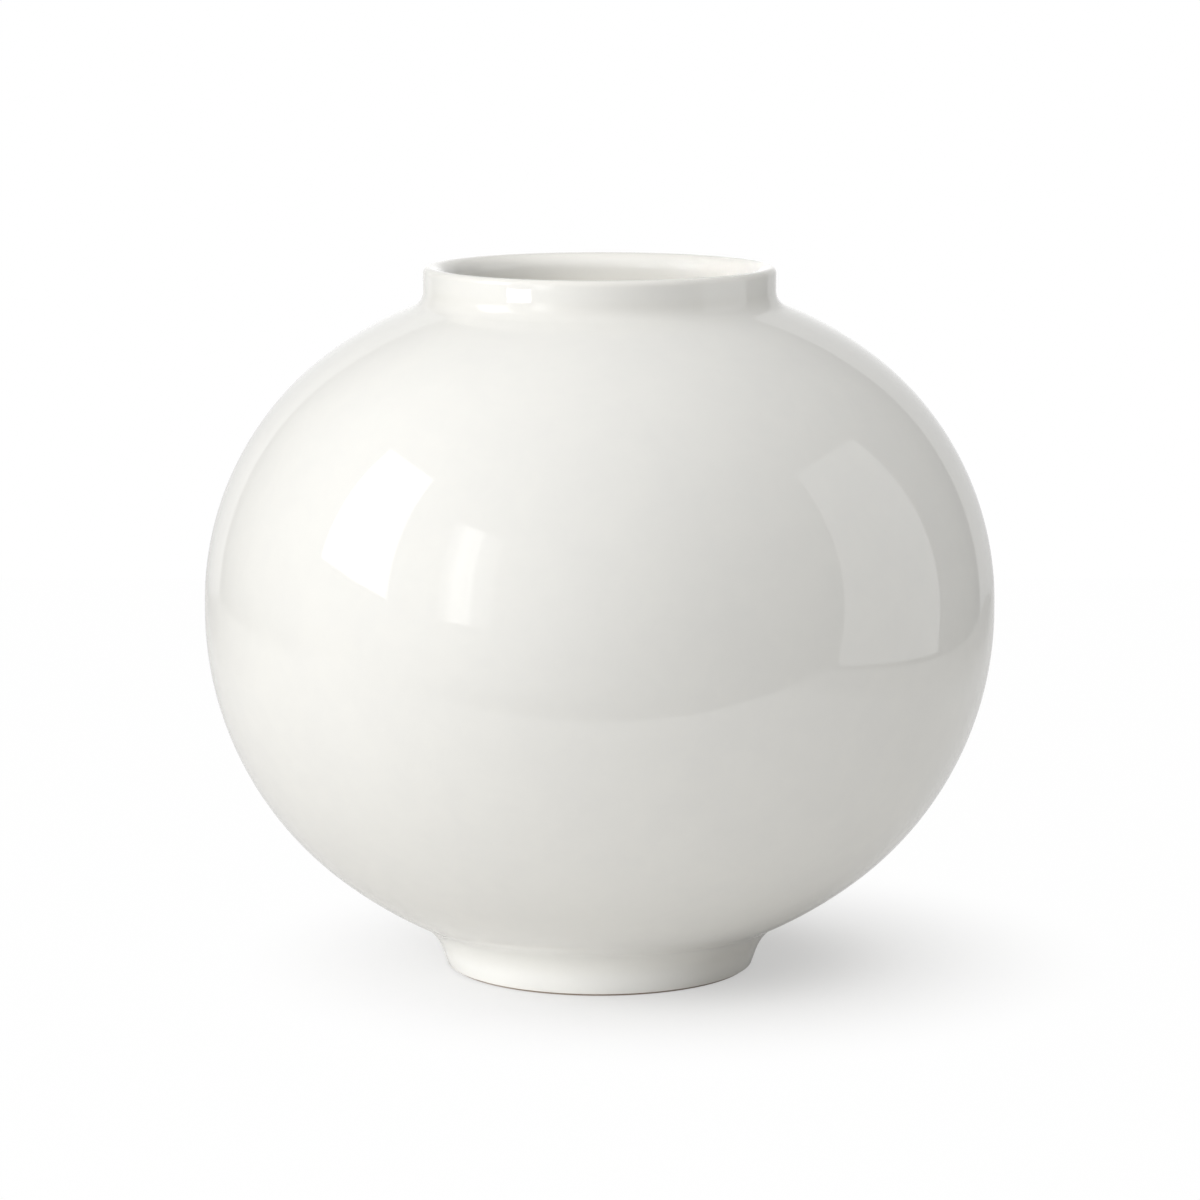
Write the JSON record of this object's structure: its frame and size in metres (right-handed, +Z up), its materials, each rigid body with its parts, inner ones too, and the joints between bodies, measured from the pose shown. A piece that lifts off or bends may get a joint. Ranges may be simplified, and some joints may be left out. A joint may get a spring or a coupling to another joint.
{
  "type": "moon jar",
  "caption": "Round-bellied white porcelain jar with a short upright neck and a flared foot ring, thrown as bowls luted at the belly; stands free and holds things through its mouth.",
  "frame": {"origin": "centre of the ring that the jar stands on, at the level of the surface under it", "axes": "+Z up along the jar's axis; X and Y are free, because the jar is round"},
  "size_m": [0.448, 0.4478, 0.4005],
  "materials": {
    "porcelain": "fired and unglazed, with a fine dry grain",
    "luting_slip": "fired slip, hidden in the joints",
    "white_glaze": "glossy milky white glaze, faintly uneven in tone"
  },
  "bodies": {
    "root": {"foot_ring": "porcelain", "foot_slip": "luting_slip", "lower_bowl": "porcelain", "belly_slip": "luting_slip", "upper_bowl": "porcelain", "neck_slip": "luting_slip", "neck_collar": "porcelain", "outer_glaze": "white_glaze", "inner_glaze": "white_glaze", "foot_well_glaze": "white_glaze"}
  },
  "joints": []
}
